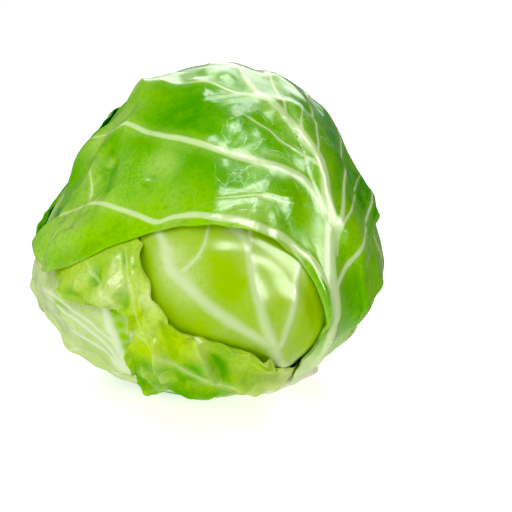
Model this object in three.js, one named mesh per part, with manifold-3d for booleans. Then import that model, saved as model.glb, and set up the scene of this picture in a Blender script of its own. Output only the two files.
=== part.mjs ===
// A round green cabbage head as it is cut from its stalk: a dense heart on a white core, wrapped in eight
// broad leaves. Every leaf grows from the cut end of the core, which points down to the right, and lies over
// the leaves inside it. Millimetres and degrees, +Z up, the front is -Y, and the origin is the middle of the
// head's underside on the surface it rests on.
import * as THREE from 'three';
import { mergeVertices } from 'three/addons/utils/BufferGeometryUtils.js';
import Module from 'manifold-3d';

// The closed head, out to its outer leaves
const HALF_WIDTH = 102.5;
const RISE = 115;                 // from the widest level up to the top
const DROP = 75;                  // from the widest level down to where the round bottom would end
const WIDEST_LEVEL = 70;          // its height over the surface, so the bottom is pressed flat
const SIDE_SHIFT = 1.26, BACK_SHIFT = 2.33;   // from the middle of the box to the axis of the head
const TOP_TAPER = 0.14, TOP_TAPER_END = 0.6;
const FOOT_TAPER = 0.05;
const TOP_LEAN = 6;
const PRESS_TURN = 3;             // the turn from the flat bottom into the round side

// The core, cut off across where the leaves start
const STEM_HEADING = [45, -48];   // degrees round from the front, degrees above the widest level
const CORE_CUT_RADIUS = 16.5, CORE_TIP_RADIUS = 9;
const CORE_DEPTH = 62, CORE_STUB = 14;
const CORE_EDGE = 1.5;
const DIMPLE = 8, DIMPLE_SPREAD = 22;   // the hollow round the stub, mm deep and degrees wide

// The leaves
const BLADE_THICK = 1.1;
const RIB_THICK = 3, RIB_HALF_WIDTH = 5.5;     // the midrib at its foot, over the blade, mm and degrees
const RIB_DRAPE_HALF_WIDTH = 9;   // the next leaf lies over it in a wider curve
const LAYER_GAP = 1.1;            // from one leaf to the next
const HEART_INSET = 4;            // from the outside of the head in to its heart
const LEAF_FOOT = 9, FOOT_HALF_WIDTH = 12;     // degrees from the core's axis, and across
const RIB_THINS_FROM = -1, RIB_ENDS_AT = 0.5;  // along the leaf: -1 is its foot and 0 its middle
const EDGE_DIVISIONS = 400, EDGE_CORNERS = 90; // spacing along an edge, and its corners as a polygon
const EDGE_WAVES_FROM = 0.7;      // share of the way out from a leaf's middle
const LIFT_LEVELS = [6, 24];      // no wave or bulge at the bottom, all of it from here up
const DRAPE_HOLD = 5, DRAPE_FALL = 8;          // how far past a leaf's edge the next leaf stays lifted
const HEART_FOLDS = 3, HEART_FOLD_STEP = 1.6;  // the edges that show on the heart
const HEART_DETAIL = 7;
const CORE_SIDES = 32;
const TOUCH = 0.3;                // clearance where two pieces meet

// Half of a plain broad blade, as shares of its half width and of its lengths below and above the middle
const PLAIN_HALF = [
  [0.4, -0.8], [0.72, -0.5], [0.95, -0.18], [1, 0.15], [0.92, 0.5], [0.64, 0.82], [0.26, 0.98],
];

// Inner leaves first. The middle is a heading; outlines are degrees across the leaf and along it from its
// middle, away from the core, going round by the right.
const LEAVES = [
  { name: 'leaf_front', middle: [8, 14], plain: [57, 48], rings: 10, waves: [7, 1], colour: 0xa9cf3f },
  { name: 'leaf_back', middle: [170, -21], plain: [66, 74], rings: 10, waves: [9, 1.5], colour: 0x8cc22a },
  { name: 'leaf_right', middle: [117, 2], plain: [68, 58], rings: 10, waves: [9, 2], colour: 0x96c832 },
  { name: 'leaf_under', middle: [-135, -57], plain: [58, 66], rings: 10, waves: [9, 2], colour: 0xb9da7a },
  {
    name: 'leaf_low_left', middle: [-38, 0], rings: 11, waves: [8, 2.5], colour: 0xc6dd94,
    outline: [[12, -52], [16, -32], [21, -18], [21, -8], [15, 4], [11, 14], [4, 26], [-12, 33], [-32, 29],
      [-48, 14], [-58, -6], [-58, -27], [-48, -46], [-30, -62]],
    bumps: [[-24, 18, 8, 1.5], [-35, -19, 7, 1.5]],
  },
  {
    name: 'leaf_ruffled', middle: [-17, 5], rings: 13, waves: [13, 6], colour: 0xb8d948,
    outline: [[13, -52], [16, -38], [12, -24], [6, -12], [4, -2], [4, 8], [5, 16], [1, 24], [-10, 35],
      [-22, 36], [-27, 27], [-23, 17], [-13, 9], [-5, 2], [-9, -5], [-15, -9], [-20, -17], [-28, -27],
      [-30, -38], [-20, -52]],
    bumps: [[-12, 14, 8, 3]],
  },
  {
    name: 'leaf_top', middle: [48, 52], rings: 16, waves: [15, 2.5], colour: 0x6eb204,
    outline: [[10, -66], [12, -46], [22, -39], [34, -32], [48, -20], [62, -4], [70, 16], [70, 38], [58, 60],
      [36, 76], [6, 83], [-24, 82], [-50, 76], [-74, 65], [-89, 48], [-93, 32], [-89, 18], [-80, 9], [-68, 2],
      [-50, -9], [-37, -18], [-27, -25], [-20, -31], [-14, -38], [-10, -52], [-9, -66]],
    bumps: [[-82, 24, 12, 4], [-50, 46, 10, 3], [36, 0, 16, 1.5]],
  },
  {
    name: 'leaf_behind', middle: [-112, -12], rings: 12, waves: [11, 3], colour: 0x3f8f0a,
    outline: [[13, -88], [14, -66], [12, -44], [12, -22], [12, -6], [12, 6], [15, 14], [23, 22], [25, 29],
      [22, 34], [25, 40], [22, 46], [19, 50], [13, 56], [4, 62], [-8, 65], [-26, 62], [-42, 46], [-50, 24],
      [-48, 0], [-40, -24], [-32, -48], [-22, -72]],
  },
];

const DEGREE = Math.PI / 180;

function smooth(from, to, x) {
  const t = THREE.MathUtils.clamp((x - from) / (to - from), 0, 1);
  return t * t * (3 - 2 * t);
}

function heading([round, above]) {
  const level = Math.cos(above * DEGREE);
  const [sideways, back] = [Math.sin(round * DEGREE), -Math.cos(round * DEGREE)];
  return new THREE.Vector3(level * sideways, level * back, Math.sin(above * DEGREE));
}

const STEM = heading(STEM_HEADING);

// The outside of the closed head, before its bottom is pressed flat
function closedHead(dir) {
  const narrow = 1 - TOP_TAPER * smooth(0, TOP_TAPER_END, dir.z) - FOOT_TAPER * smooth(0, 1, -dir.z);
  return new THREE.Vector3(
    SIDE_SHIFT + HALF_WIDTH * narrow * dir.x + TOP_LEAN * smooth(0, 1, dir.z),
    BACK_SHIFT + HALF_WIDTH * narrow * dir.y,
    WIDEST_LEVEL + (dir.z > 0 ? RISE : DROP) * dir.z,
  );
}

function outward(dir) {
  const reference = Math.abs(dir.z) < 0.9 ? new THREE.Vector3(0, 0, 1) : new THREE.Vector3(1, 0, 0);
  const side = reference.cross(dir).normalize();
  const ahead = dir.clone().cross(side);
  const step = 1e-3;
  const slope = (way) => closedHead(dir.clone().addScaledVector(way, step))
    .sub(closedHead(dir.clone().addScaledVector(way, -step)));
  return slope(side).cross(slope(ahead)).normalize();
}

// Leaf outlines
function plainBlade([half, tip], foot) {
  const right = PLAIN_HALF.map(([across, along]) => [across * half, along * (along < 0 ? -foot : tip)]);
  const left = right.map(([across, along]) => [-across, along]).reverse();
  return [...right, [0, tip], ...left];
}

function prepare(leaf) {
  leaf.out = heading(leaf.middle);
  leaf.along = leaf.out.clone().multiplyScalar(STEM.dot(leaf.out)).sub(STEM).normalize();
  leaf.across = leaf.along.clone().cross(leaf.out);
  leaf.foot = -(leaf.out.angleTo(STEM) / DEGREE - LEAF_FOOT);
  const blade = leaf.outline ?? plainBlade(leaf.plain, leaf.foot);
  const points = [[0, leaf.foot], [FOOT_HALF_WIDTH, leaf.foot], ...blade, [-FOOT_HALF_WIDTH, leaf.foot]];
  const rim = points.map(([u, v]) => new THREE.Vector3(u, v, 0));
  leaf.edge = new THREE.CatmullRomCurve3(rim, true, 'centripetal');
  leaf.edge.arcLengthDivisions = EDGE_DIVISIONS;
  leaf.corners = leaf.edge.getSpacedPoints(EDGE_CORNERS);
  return leaf;
}

function onLeaf(leaf, dir) {
  const far = dir.angleTo(leaf.out) / DEGREE;
  const turn = Math.atan2(dir.dot(leaf.across), dir.dot(leaf.along));
  return [far * Math.sin(turn), far * Math.cos(turn)];
}

function fromLeaf(leaf, u, v) {
  const far = Math.hypot(u, v);
  if (far < 1e-9) return leaf.out.clone();
  const way = leaf.across.clone().multiplyScalar(u / far).addScaledVector(leaf.along, v / far);
  return leaf.out.clone().multiplyScalar(Math.cos(far * DEGREE)).addScaledVector(way, Math.sin(far * DEGREE));
}

// Degrees from a point to a leaf's edge, less than zero on the leaf
function pastEdge(leaf, u, v) {
  let nearest = Infinity;
  let inside = false;
  for (let i = 1; i < leaf.corners.length; i += 1) {
    const a = leaf.corners[i - 1];
    const b = leaf.corners[i];
    const [dx, dy] = [b.x - a.x, b.y - a.y];
    const t = THREE.MathUtils.clamp(((u - a.x) * dx + (v - a.y) * dy) / (dx * dx + dy * dy), 0, 1);
    nearest = Math.min(nearest, Math.hypot(u - a.x - t * dx, v - a.y - t * dy));
    if ((a.y > v) !== (b.y > v) && u < a.x + ((v - a.y) / dy) * dx) inside = !inside;
  }
  return inside ? -nearest : nearest;
}

// How the leaves lie on each other: heights are over the heart
function cover(leaf, u, v) {
  return 1 - smooth(DRAPE_HOLD, DRAPE_HOLD + DRAPE_FALL, pastEdge(leaf, u, v));
}

function thickness(leaf, u, v, ribHalfWidth = RIB_HALF_WIDTH) {
  const towardsFoot = smooth(RIB_ENDS_AT, RIB_THINS_FROM, v / -leaf.foot);
  return BLADE_THICK + RIB_THICK * towardsFoot * Math.exp(-((u / ribHalfWidth) ** 2));
}

function stackOf(leaves, dir) {
  let height = 0;
  for (const leaf of leaves) {
    const [u, v] = onLeaf(leaf, dir);
    const share = cover(leaf, u, v);
    if (share > 0) height += share * (thickness(leaf, u, v, RIB_DRAPE_HALF_WIDTH) + LAYER_GAP);
  }
  return height;
}

function bareShare(outer, dir) {
  return outer.reduce((share, leaf) => share * (1 - cover(leaf, ...onLeaf(leaf, dir))), 1);
}

const leaves = LEAVES.map(prepare);

// The point at a height over the heart. The bottom is pressed flat, with a rounded turn: the outermost leaf
// there lies on the surface, and each leaf inside it is as much higher as it is deeper.
function place(dir, height, pressedHeight = height) {
  const dimple = DIMPLE * Math.exp(-((dir.angleTo(STEM) / DEGREE / DIMPLE_SPREAD) ** 2));
  const point = closedHead(dir).addScaledVector(outward(dir), height - HEART_INSET - dimple);
  const floor = Math.max(stackOf(leaves, dir) - LAYER_GAP - pressedHeight, 0);
  const over = point.z - floor;
  if (over < PRESS_TURN) point.z = floor + Math.max(over + PRESS_TURN, 0) ** 2 / (4 * PRESS_TURN);
  return point;
}

// One leaf: a point in its middle, then rings out to its edge with six more points each, on both faces
function leafGeometry(leaf, order) {
  const inner = leaves.slice(0, order);
  const outer = leaves.slice(order + 1);
  const outerFace = [];
  const innerFace = [];
  const addPoint = (u, v, ring, turn) => {
    const dir = fromLeaf(leaf, u, v);
    const free = bareShare(outer, dir) * smooth(...LIFT_LEVELS, closedHead(dir).z);
    const low = stackOf(inner, dir) + free * liftOf(leaf, u, v, ring, turn);
    innerFace.push(place(dir, low));
    const drape = low + thickness(leaf, u, v, RIB_DRAPE_HALF_WIDTH);
    outerFace.push(place(dir, low + thickness(leaf, u, v), drape));
  };
  addPoint(0, 0, 0, 0);
  for (let ring = 1; ring <= leaf.rings; ring += 1) {
    const share = ring / leaf.rings;
    for (let k = 0; k < 6 * ring; k += 1) {
      const rim = leaf.edge.getPointAt(k / (6 * ring));
      addPoint(rim.x * share, rim.y * share, share, k / (6 * ring));
    }
  }
  return blade(outerFace, innerFace, leaf.rings);
}

// Waves along a leaf's edge, and its bulges
function liftOf(leaf, u, v, ring, turn) {
  const [count, height] = leaf.waves;
  const wave = 0.5 - 0.5 * Math.cos(2 * Math.PI * count * turn);
  let lift = height * wave * smooth(EDGE_WAVES_FROM, 1, ring) * smooth(leaf.foot, leaf.foot / 2, v);
  for (const [across, along, wide, high] of leaf.bumps ?? []) {
    lift += high * Math.exp(-(((u - across) ** 2 + (v - along) ** 2) / wide ** 2));
  }
  return lift;
}

function blade(outerFace, innerFace, rings) {
  const half = outerFace.length;
  const corner = (ring, k) => (ring === 0 ? 0 : 1 + 3 * ring * (ring - 1) + (k % (6 * ring)));
  const faces = [];
  const onBothFaces = (a, b, c) => faces.push(a, b, c, half + a, half + c, half + b);
  for (let ring = 1; ring <= rings; ring += 1) {
    for (let k = 0; k < 6 * ring; k += 1) {
      const inside = k - Math.floor(k / ring);
      const [a, b, c] = [corner(ring - 1, inside), corner(ring, k), corner(ring, k + 1)];
      onBothFaces(a, b, c);
      if (k % ring < ring - 1) onBothFaces(a, c, corner(ring - 1, inside + 1));
    }
  }
  for (let k = 0; k < 6 * rings; k += 1) {
    const [a, b] = [corner(rings, k), corner(rings, k + 1)];
    faces.push(a, half + a, b, b, half + a, half + b);
  }
  return geometryOf([...outerFace, ...innerFace].flatMap((p) => [p.x, p.y, p.z]), faces);
}

function geometryOf(coordinates, faces) {
  const geometry = new THREE.BufferGeometry();
  geometry.setAttribute('position', new THREE.Float32BufferAttribute(coordinates, 3));
  geometry.setIndex(faces);
  return geometry;
}

// The heart: tightly folded inner leaves, whose edges run round it as low steps
function heartGeometry() {
  const ball = new THREE.IcosahedronGeometry(1, HEART_DETAIL);
  ball.deleteAttribute('normal');
  ball.deleteAttribute('uv');
  const geometry = mergeVertices(ball, 1e-5);
  const position = geometry.getAttribute('position');
  const up = heading([STEM_HEADING[0], STEM_HEADING[1] + 90]);
  const side = up.clone().cross(STEM);
  for (let i = 0; i < position.count; i += 1) {
    const dir = new THREE.Vector3().fromBufferAttribute(position, i).normalize();
    const round = Math.atan2(dir.dot(side), dir.dot(up)) / (2 * Math.PI);
    const along = dir.angleTo(STEM) / Math.PI;
    const fold = THREE.MathUtils.euclideanModulo(HEART_FOLDS * round + along, 1);
    const point = place(dir, -LAYER_GAP - HEART_FOLD_STEP * fold * Math.sin(Math.PI * along));
    position.setXYZ(i, ...point);
  }
  return geometry;
}

// The core: a tapered white stalk with its cut end out and its tip in the heart, grown by a clearance
// where it cuts the heart and the feet of the leaves
function coreGeometry(clearance) {
  const radius = CORE_CUT_RADIUS + clearance;
  const profile = [
    [0, -CORE_DEPTH - clearance], [CORE_TIP_RADIUS + clearance, -CORE_DEPTH - clearance], [radius, 0],
    [radius, CORE_STUB - CORE_EDGE], [radius - CORE_EDGE, CORE_STUB], [0, CORE_STUB],
  ].map(([r, y]) => new THREE.Vector2(r, clearance > 0 && y === CORE_STUB ? CORE_STUB * 2 : y));
  const geometry = new THREE.LatheGeometry(profile, CORE_SIDES);
  const axis = outward(STEM);
  geometry.applyQuaternion(new THREE.Quaternion().setFromUnitVectors(new THREE.Vector3(0, 1, 0), axis));
  const root = closedHead(STEM).addScaledVector(axis, -HEART_INSET - DIMPLE);
  geometry.translate(root.x, root.y, root.z);
  return geometry;
}

const wasm = await Module();
wasm.setup();

function solidOf(geometry) {
  geometry.deleteAttribute('normal');
  geometry.deleteAttribute('uv');
  const merged = mergeVertices(geometry, 1e-4);
  return new wasm.Manifold(new wasm.Mesh({
    numProp: 3,
    vertProperties: new Float32Array(merged.getAttribute('position').array),
    triVerts: new Uint32Array(merged.index.array),
  }));
}

function geometryFromSolid(solid) {
  const mesh = solid.getMesh();
  return geometryOf(Array.from(mesh.vertProperties), Array.from(mesh.triVerts));
}

const head = new THREE.Group();
head.name = 'cabbage_head';

function addPiece(name, geometry, colour, roughness) {
  const material = new THREE.MeshStandardMaterial({ color: colour, roughness, metalness: 0 });
  const mesh = new THREE.Mesh(geometry, material);
  mesh.name = name;
  head.add(mesh);
}

const coreRoom = solidOf(coreGeometry(TOUCH));
addPiece('core', geometryFromSolid(solidOf(coreGeometry(0))), 0xf1f0d8, 0.55);
addPiece('heart', geometryFromSolid(solidOf(heartGeometry()).subtract(coreRoom)), 0xdfe8a8, 0.4);
leaves.forEach((leaf, order) => {
  const solid = solidOf(leafGeometry(leaf, order)).subtract(coreRoom);
  addPiece(leaf.name, geometryFromSolid(solid), leaf.colour, 0.35);
});

export default head;
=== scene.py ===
import math

import bpy
import numpy as np
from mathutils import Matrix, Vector


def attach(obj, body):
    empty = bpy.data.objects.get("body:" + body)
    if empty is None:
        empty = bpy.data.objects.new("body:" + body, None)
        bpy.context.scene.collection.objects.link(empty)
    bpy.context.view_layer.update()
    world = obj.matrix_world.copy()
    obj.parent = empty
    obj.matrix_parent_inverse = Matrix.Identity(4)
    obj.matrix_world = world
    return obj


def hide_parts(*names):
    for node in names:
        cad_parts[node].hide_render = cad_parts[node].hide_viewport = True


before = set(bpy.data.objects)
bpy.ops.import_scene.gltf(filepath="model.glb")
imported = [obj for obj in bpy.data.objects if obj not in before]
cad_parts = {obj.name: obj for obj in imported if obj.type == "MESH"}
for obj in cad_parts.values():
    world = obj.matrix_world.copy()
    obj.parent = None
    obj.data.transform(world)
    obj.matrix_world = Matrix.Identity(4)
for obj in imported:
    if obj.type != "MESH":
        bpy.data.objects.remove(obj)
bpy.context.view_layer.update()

# The core: the white stalk that every leaf grows from, cut across with a knife. Its face is moist and
# fibrous, with two rings of strand ends, and its rind is pale green. From here on lengths are in mm until a
# mesh is made, and angles are in degrees.
MM = 0.001
HALF_WIDTH, RISE, DROP, WIDEST_LEVEL = 102.5, 115.0, 75.0, 70.0
TOP_TAPER, TOP_TAPER_END, FOOT_TAPER, TOP_LEAN = 0.14, 0.6, 0.05, 6.0
SIDE_SHIFT, BACK_SHIFT = 1.26, 2.33
STEM_HEADING = (45, -48)
HEART_INSET, DIMPLE, DIMPLE_SPREAD = 4.0, 8.0, 22.0
CORE_RADIUS, CORE_STUB, CORE_EDGE, FACE_DISH = 16.5, 14.0, 2.2, 1.0
CORE_SIDES, EDGE_RINGS, FACE_RINGS, FACE_MIDDLE = 96, 8, 16, 0.4
STRAND_RINGS = ((11.4, 22, 0.9, 3), (6.3, 11, 0.7, 5))   # radius, count, size and seed
SMALLEST_STRAND, LARGEST_STRAND, STRAND_HEIGHT = 0.6, 1.2, 0.35


def smooth(start, end, x):
    t = np.clip((x - start) / (end - start), 0, 1)
    return t * t * (3 - 2 * t)


def heading(around, above):
    """The direction so many degrees round from the front and above the widest level."""
    a, h = np.radians(around), np.radians(above)
    return np.stack([np.cos(h) * np.sin(a), -np.cos(h) * np.cos(a), np.sin(h)], -1)


STEM = heading(*STEM_HEADING)


def closed_head(way):
    """The outside of the head in mm, before its bottom is pressed flat."""
    level = way[..., 2]
    narrow = 1 - TOP_TAPER * smooth(0, TOP_TAPER_END, level) - FOOT_TAPER * smooth(0, 1, -level)
    return np.stack([
        SIDE_SHIFT + HALF_WIDTH * narrow * way[..., 0] + TOP_LEAN * smooth(0, 1, level),
        BACK_SHIFT + HALF_WIDTH * narrow * way[..., 1],
        WIDEST_LEVEL + np.where(level > 0, RISE, DROP) * level,
    ], -1)


def unit(v):
    return v / np.linalg.norm(v, axis=-1, keepdims=True)


def outward(way):
    """The direction straight out of the closed head there."""
    step = 1e-3
    off_pole = np.abs(way[..., 2:3]) < 0.9
    side = unit(np.cross(np.where(off_pole, [0, 0, 1.0], [1.0, 0, 0]), way))
    ahead = np.cross(way, side)
    across = closed_head(way + step * side) - closed_head(way - step * side)
    along = closed_head(way + step * ahead) - closed_head(way - step * ahead)
    return unit(np.cross(across, along))


def angle_to_stem(way):
    return np.degrees(np.arccos(np.clip(way @ STEM, -1, 1)))


class Value:
    """A value in a material, so that its sums are written as Python ones."""

    def __init__(self, maker, socket):
        self.maker, self.socket = maker, socket

    def __add__(self, other):
        return self.maker.sum("ADD", self, other)

    def __sub__(self, other):
        return self.maker.sum("SUBTRACT", self, other)

    def __rsub__(self, other):
        return self.maker.sum("SUBTRACT", other, self)

    def __mul__(self, other):
        return self.maker.sum("MULTIPLY", self, other)

    __radd__ = __add__
    __rmul__ = __mul__


class Finish:
    """A material and its nodes. The maker of each node gives its type, settings, then values or links."""

    def __init__(self, name):
        self.material = bpy.data.materials.new(name)
        self.material.use_nodes = True
        self.nodes = self.material.node_tree.nodes
        self.links = self.material.node_tree.links
        self.nodes.clear()

    def node(self, kind, settings=None, values=None, output=0):
        made = self.nodes.new(kind)
        for key, setting in (settings or {}).items():
            setattr(made, key, setting)
        for key, value in (values or {}).items():
            if isinstance(value, Value):
                self.links.new(value.socket, made.inputs[key])
            else:
                made.inputs[key].default_value = value
        return Value(self, made.outputs[output]) if made.outputs else made

    def sum(self, operation, *terms):
        return self.node("ShaderNodeMath", {"operation": operation}, dict(enumerate(terms)))

    def clamp(self, value):
        return self.node("ShaderNodeClamp", values={"Value": value})

    def step(self, value, low, high):
        """0 below low and 1 above high, with a smooth rise between."""
        ends = {"Value": value, "From Min": low, "From Max": high}
        return self.node("ShaderNodeMapRange", {"interpolation_type": "SMOOTHSTEP"}, ends)

    def until(self, value, low, high):
        """1 below low and 0 above high."""
        return 1 - self.step(value, low, high)

    def mix(self, first, second, share):
        """A colour between two; the first may be a value. Sockets 6, 7 and 2 are the node's colour ones."""
        first = first if isinstance(first, Value) else (*first, 1)
        values = {"Factor": share, 6: first, 7: (*second, 1)}
        return self.node("ShaderNodeMix", {"data_type": "RGBA"}, values, output=2)

    def attribute(self, name):
        return self.node("ShaderNodeAttribute", {"attribute_name": name}, output="Fac")

    def position(self):
        return self.node("ShaderNodeTexCoord", output="Object")

    def noise(self, vector, scale, detail, rough=0.5):
        values = {"Vector": vector, "Scale": scale, "Detail": detail, "Roughness": rough}
        return self.node("ShaderNodeTexNoise", values=values)

    def cell_edges(self, vector, scale):
        """How far it is to the nearest cell wall, 0 on the wall."""
        values = {"Vector": vector, "Scale": scale}
        return self.node("ShaderNodeTexVoronoi", {"feature": "DISTANCE_TO_EDGE"}, values)

    def bump(self, height, distance, strength):
        values = {"Height": height, "Distance": distance, "Strength": strength}
        return self.node("ShaderNodeBump", values=values)

    def surface(self, **values):
        sockets = {key.replace("_", " "): value for key, value in values.items()}
        shader = self.node("ShaderNodeBsdfPrincipled", values=sockets)
        self.node("ShaderNodeOutputMaterial", values={"Surface": shader})
        return self.material


def rgb(red, green, blue):
    """A colour as a screen shows it, 0 to 255, turned to linear light."""
    part = [c / 255 for c in (red, green, blue)]
    return tuple(c / 12.92 if c <= 0.04045 else ((c + 0.055) / 1.055) ** 2.4 for c in part)


def mesh_object(name, points, faces, material):
    """A smooth mesh piece at the origin; points are in mm."""
    mesh = bpy.data.meshes.new(name)
    mesh.from_pydata((np.asarray(points) * MM).tolist(), [], faces)
    mesh.materials.append(material)
    mesh.shade_smooth()
    piece = bpy.data.objects.new(name, mesh)
    bpy.context.scene.collection.objects.link(piece)
    return piece


CORE_AXIS = outward(STEM)
CORE_MIDDLE = closed_head(STEM) - CORE_AXIS * (HEART_INSET + DIMPLE)
CORE_ACROSS = unit(np.cross(CORE_AXIS, [0, 0, 1.0]))
CORE_UP = np.cross(CORE_ACROSS, CORE_AXIS)


def core_point(across, up, along):
    ways = ((across, CORE_ACROSS), (up, CORE_UP), (along, CORE_AXIS))
    return CORE_MIDDLE + sum([np.multiply.outer(far, way) for far, way in ways])


def core_profile():
    """Radius and height from inside the head, up the rind, round the cut edge and in over the cut face."""
    turns = np.linspace(0, math.pi / 2, EDGE_RINGS)
    rind = [(10.0, -45.0), (14.5, -20.0), (CORE_RADIUS - 0.4, -4.0), (CORE_RADIUS, 4.0)]
    edge = [(CORE_RADIUS - CORE_EDGE * (1 - math.cos(turn)), CORE_STUB - CORE_EDGE * (1 - math.sin(turn)))
            for turn in turns]
    face = [(radius, CORE_STUB)
            for radius in np.linspace(CORE_RADIUS - CORE_EDGE, FACE_MIDDLE, FACE_RINGS)[1:]]
    return rind + edge + face


def core_mesh():
    """The core with its slight lobes, a knife's uneven cut and a face that has sunk a little."""
    angles = np.linspace(0, 2 * math.pi, CORE_SIDES, endpoint=False)
    lobes = 1 + 0.03 * np.cos(3 * angles + 0.4) + 0.02 * np.cos(5 * angles + 2)
    profile = core_profile()
    points = []
    for radius, height in profile:
        share = radius / CORE_RADIUS
        uneven = 0.4 * np.sin(angles * 2 + 1) * share ** 4 + 0.25 * np.cos(7 * angles) * share ** 6
        sunk = FACE_DISH * (1 - share ** 2) if height >= CORE_STUB else 0.0
        along = height + (uneven if height > CORE_STUB - CORE_EDGE else 0.0) - sunk
        reach = radius * lobes
        points.append(core_point(reach * np.cos(angles), reach * np.sin(angles), along))
    faces = []
    for ring in range(len(profile) - 1):
        a, b = ring * CORE_SIDES, (ring + 1) * CORE_SIDES
        for k in range(CORE_SIDES):
            n = (k + 1) % CORE_SIDES
            faces.append((a + k, a + n, b + n, b + k))
    faces.append(tuple(range(CORE_SIDES))[::-1])
    faces.append(tuple((len(profile) - 1) * CORE_SIDES + k for k in range(CORE_SIDES)))
    return np.concatenate(points), faces


def core_finish():
    f = Finish("core")
    place = f.position()
    fibre = f.noise(place, 900, 4, 0.65)
    patch = f.noise(place, 120, 3)
    colour = f.mix(rgb(243, 241, 222), rgb(206, 219, 160), f.step(patch, 0.45, 0.8) * 0.6)
    colour = f.mix(colour, rgb(196, 178, 120), f.step(fibre, 0.62, 0.8) * 0.35)
    normal = f.bump(fibre, 0.0006, 0.6)
    return f.surface(Base_Color=colour, Roughness=0.42 + patch * 0.15, Normal=normal, Subsurface_Weight=0.2,
                     Subsurface_Radius=(1.0, 0.9, 0.6), Subsurface_Scale=0.003)


def strand_tree(material):
    """Adds a ring of strand ends to the core: flat drops, each a little off its place and of its own size."""
    tree = bpy.data.node_groups.new("strand_ring", "GeometryNodeTree")
    kinds = {"Core": "Geometry", "Radius": "Float", "Count": "Int", "Size": "Float", "Seed": "Int",
             "Place": "Vector"}
    for key, kind in kinds.items():
        tree.interface.new_socket(key, in_out="INPUT", socket_type="NodeSocket" + kind)
    tree.interface.new_socket("Core", in_out="OUTPUT", socket_type="NodeSocketGeometry")
    nodes, links = tree.nodes, tree.links
    given, result = nodes.new("NodeGroupInput").outputs, nodes.new("NodeGroupOutput")

    def node(kind, values, output=0, **settings):
        made = nodes.new(kind)
        for key, setting in settings.items():
            setattr(made, key, setting)
        for key, value in values.items():
            if isinstance(value, bpy.types.NodeSocket):
                links.new(value, made.inputs[key])
            else:
                made.inputs[key].default_value = value
        return made.outputs[output]

    size, seed = given["Size"], given["Seed"]
    ring = node("GeometryNodeMeshCircle", {"Vertices": given["Count"], "Radius": given["Radius"]})
    spread = {0: (-1, -1, 0), 1: (1, 1, 0), "Seed": seed}
    stray = node("FunctionNodeRandomValue", spread, data_type="FLOAT_VECTOR")
    offset = node("ShaderNodeVectorMath", {0: stray, "Scale": size}, operation="SCALE")
    points = node("GeometryNodeSetPosition", {"Geometry": ring, "Offset": offset})
    ball = node("GeometryNodeMeshIcoSphere", {"Radius": size, "Subdivisions": 3})
    drop = node("GeometryNodeTransform", {"Geometry": ball, "Scale": (1, 1, STRAND_HEIGHT)})
    sizes = {2: SMALLEST_STRAND, 3: LARGEST_STRAND, "Seed": seed}
    grown = node("FunctionNodeRandomValue", sizes, output=1, data_type="FLOAT")
    drops = node("GeometryNodeInstanceOnPoints", {"Points": points, "Instance": drop, "Scale": grown})
    turn = Vector(CORE_AXIS).to_track_quat("Z", "Y").to_euler()
    place = {"Geometry": drops, "Translation": given["Place"], "Rotation": turn}
    placed = node("GeometryNodeTransform", place)
    joined = nodes.new("GeometryNodeJoinGeometry")
    links.new(given["Core"], joined.inputs[0])
    links.new(placed, joined.inputs[0])
    real = node("GeometryNodeRealizeInstances", {"Geometry": joined.outputs[0]})
    coloured = node("GeometryNodeSetMaterial", {"Geometry": real, "Material": material})
    links.new(coloured, result.inputs[0])
    return tree, {item.name: item.identifier for item in tree.interface.items_tree if item.in_out == "INPUT"}


def add_strands(piece, material):
    tree, sockets = strand_tree(material)
    for radius, count, size, seed in STRAND_RINGS:
        height = CORE_STUB - FACE_DISH * (1 - (radius / CORE_RADIUS) ** 2)
        place = [float(x) * MM for x in core_point(0.0, 0.0, height)]
        values = {"Radius": radius * MM, "Count": count, "Size": size * MM, "Seed": seed, "Place": place}
        ring = piece.modifiers.new("strands", "NODES")
        ring.node_group = tree
        for key, value in values.items():
            ring[sockets[key]] = value
    shown = piece.evaluated_get(bpy.context.evaluated_depsgraph_get())
    mesh = bpy.data.meshes.new_from_object(shown)
    piece.modifiers.clear()
    piece.data = mesh
    mesh.shade_smooth()


core_material = core_finish()
core = mesh_object("core_cut", *core_mesh(), core_material)
add_strands(core, core_material)
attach(core, "root")
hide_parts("core")

# The leaves: thin waxy blades a millimetre thick, each on a broad pale foot that clasps the core. Outlines
# are degrees across a leaf and along it from its middle, away from the core. Inner leaves come first;
# heart_leaf lies in the gap over the heart, so it lifts none of the others.
MM_PER_DEGREE = 1.79
BLADE_THICK, EDGE_THICK, SUNK_THICK = 1.1, 0.45, 0.9
RIB_THICK, RIB_HALF_WIDTH, RIB_DRAPE_HALF_WIDTH = 3.0, 5.5, 9.0
LAYER_GAP, PRESS_TURN = 1.1, 3.0
DEEPEST_DENT, EDGE_CLING, BUMP_LOSS = 0.85, 0.8, 0.7
LEAF_FOOT, FOOT_HALF_WIDTH, FOOT_FADE = 9, 12, (0.6, 0.98)
WAVES_FROM, CRIMPS_FROM, CLING_FROM, THIN_FROM, RIM_FROM = 0.7, 0.8, 0.9, 0.93, 0.95
LIFT_LEVELS = (6, 24)
DRAPE_HOLD, DRAPE_FALL = 1.5, 5.0
CURVE_STEPS, EDGE_SAMPLES, CORNER_SAMPLES = 60, 1440, 90
JAG_CRESTS, JAG_SEED = 38, 7
WIDE_VEIN, VEIN_REACH, NO_VEIN = 0.9, 9, 99.0
VEIN_ENDS_FROM, VEIN_END_LOSS, TWIG_END = 0.75, 0.7, 0.5
RIDGE_SHARE, TWIG_RIDGE_SHARE, COVERED_RIDGE = 0.18, 0.25, 0.35
# The fold tint and its limits set how strongly a fold's groove is painted as shade and its ridge as painted
# light.
FOLD_SHADE_TINT, DEEPEST_FOLD_SHADE, PALEST_FOLD_LIGHT, BESIDE_SHARE = 0.42, 0.8, 0.4, 0.35
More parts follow.
